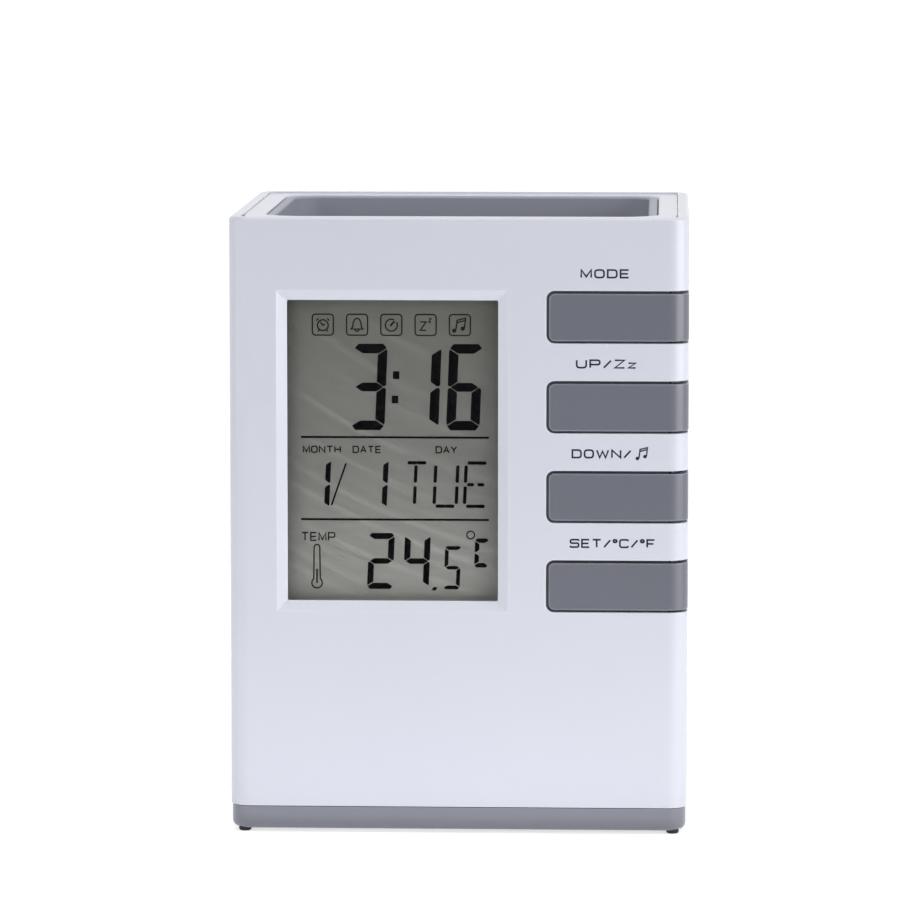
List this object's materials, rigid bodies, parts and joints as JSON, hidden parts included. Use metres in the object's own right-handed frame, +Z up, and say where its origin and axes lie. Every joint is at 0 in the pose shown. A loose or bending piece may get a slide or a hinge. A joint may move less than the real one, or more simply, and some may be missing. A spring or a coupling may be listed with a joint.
{
  "type": "pen holder clock",
  "caption": "Desk pen holder with a built-in clock: a white housing round a grey pen cup, a display window in front and grey keys that wrap round one edge.",
  "frame": {"origin": "on the surface that it stands on, under the middle of the body", "axes": "+Z up, -Y out of the display, +X towards the edge that the keys wrap round"},
  "size_m": [0.08, 0.075, 0.108],
  "materials": {
    "white_shell": "satin white moulding",
    "grey_shell": "satin grey moulding",
    "key_grey": "satin dark grey moulding",
    "foot_rubber": "matt",
    "clear_window": "clear polished",
    "display_glass": "grey-green display behind a polariser",
    "natural_plastic": "unpainted moulding",
    "strip_rubber": "soft silicone",
    "board_laminate": "green solder mask",
    "resin_drop": "glossy black resin",
    "black_plastic": "moulded black",
    "steel": "plated",
    "contact_nickel": "nickel plate",
    "brass": "rolled",
    "ceramic": "silvered ceramic",
    "cell_jacket": "plain printed sleeve",
    "lead_red": "extruded sleeve",
    "lead_black": "extruded sleeve"
  },
  "bodies": {
    "housing": {"front_panel": "white_shell", "rear_shell": "white_shell", "top_collar": "white_shell", "pen_cup": "grey_shell", "base_tray": "grey_shell", "display_lens": "clear_window", "display_front_glass": "display_glass", "display_rear_glass": "display_glass", "display_holder": "natural_plastic", "contact_strip": "strip_rubber", "circuit_board": "board_laminate", "clock_chip": "resin_drop", "timing_crystal": "steel", "temperature_sensor": "black_plastic", "switch_mode": "black_plastic", "switch_up": "black_plastic", "switch_down": "black_plastic", "switch_set": "black_plastic", "sounder_disc": "brass", "sounder_element": "ceramic", "sounder_lead_red": "lead_red", "sounder_lead_black": "lead_black", "cell_front": "cell_jacket", "cell_rear": "cell_jacket", "contact_positive": "contact_nickel", "contact_negative": "contact_nickel", "contact_bridge": "contact_nickel", "contact_spring_front": "contact_nickel", "contact_spring_rear": "contact_nickel", "battery_lead_red": "lead_red", "battery_lead_black": "lead_black", "foot_front_left": "foot_rubber", "base_screw_front_left": "steel", "foot_rear_left": "foot_rubber", "base_screw_rear_left": "steel", "foot_front_right": "foot_rubber", "base_screw_front_right": "steel", "foot_rear_right": "foot_rubber", "base_screw_rear_right": "steel", "board_screw_top_left": "steel", "board_screw_top_right": "steel", "board_screw_low_left": "steel", "board_screw_low_right": "steel"},
    "key_mode": {"key_mode": "key_grey", "plunger_mode": "natural_plastic"},
    "key_up": {"key_up": "key_grey", "plunger_up": "natural_plastic"},
    "key_down": {"key_down": "key_grey", "plunger_down": "natural_plastic"},
    "key_set": {"key_set": "key_grey", "plunger_set": "natural_plastic"},
    "battery_door": {"battery_door": "grey_shell"}
  },
  "joints": [
    {"name": "press_mode", "type": "slide", "parent": "housing", "child": "key_mode", "axis": [0, 1, 0], "range_m": [0, 0.0006], "stiffness_N_per_m": 800, "springref_m": -0.0005},
    {"name": "press_up", "type": "slide", "parent": "housing", "child": "key_up", "axis": [0, 1, 0], "range_m": [0, 0.0006], "stiffness_N_per_m": 800, "springref_m": -0.0005},
    {"name": "press_down", "type": "slide", "parent": "housing", "child": "key_down", "axis": [0, 1, 0], "range_m": [0, 0.0006], "stiffness_N_per_m": 800, "springref_m": -0.0005},
    {"name": "press_set", "type": "slide", "parent": "housing", "child": "key_set", "axis": [0, 1, 0], "range_m": [0, 0.0006], "stiffness_N_per_m": 800, "springref_m": -0.0005},
    {"name": "battery_door_tilt", "type": "hinge", "parent": "housing", "child": "battery_door", "pos_m": [0, -0.00675, 0.0018], "axis": [-1, 0, 0], "range_deg": [0, 95]}
  ]
}
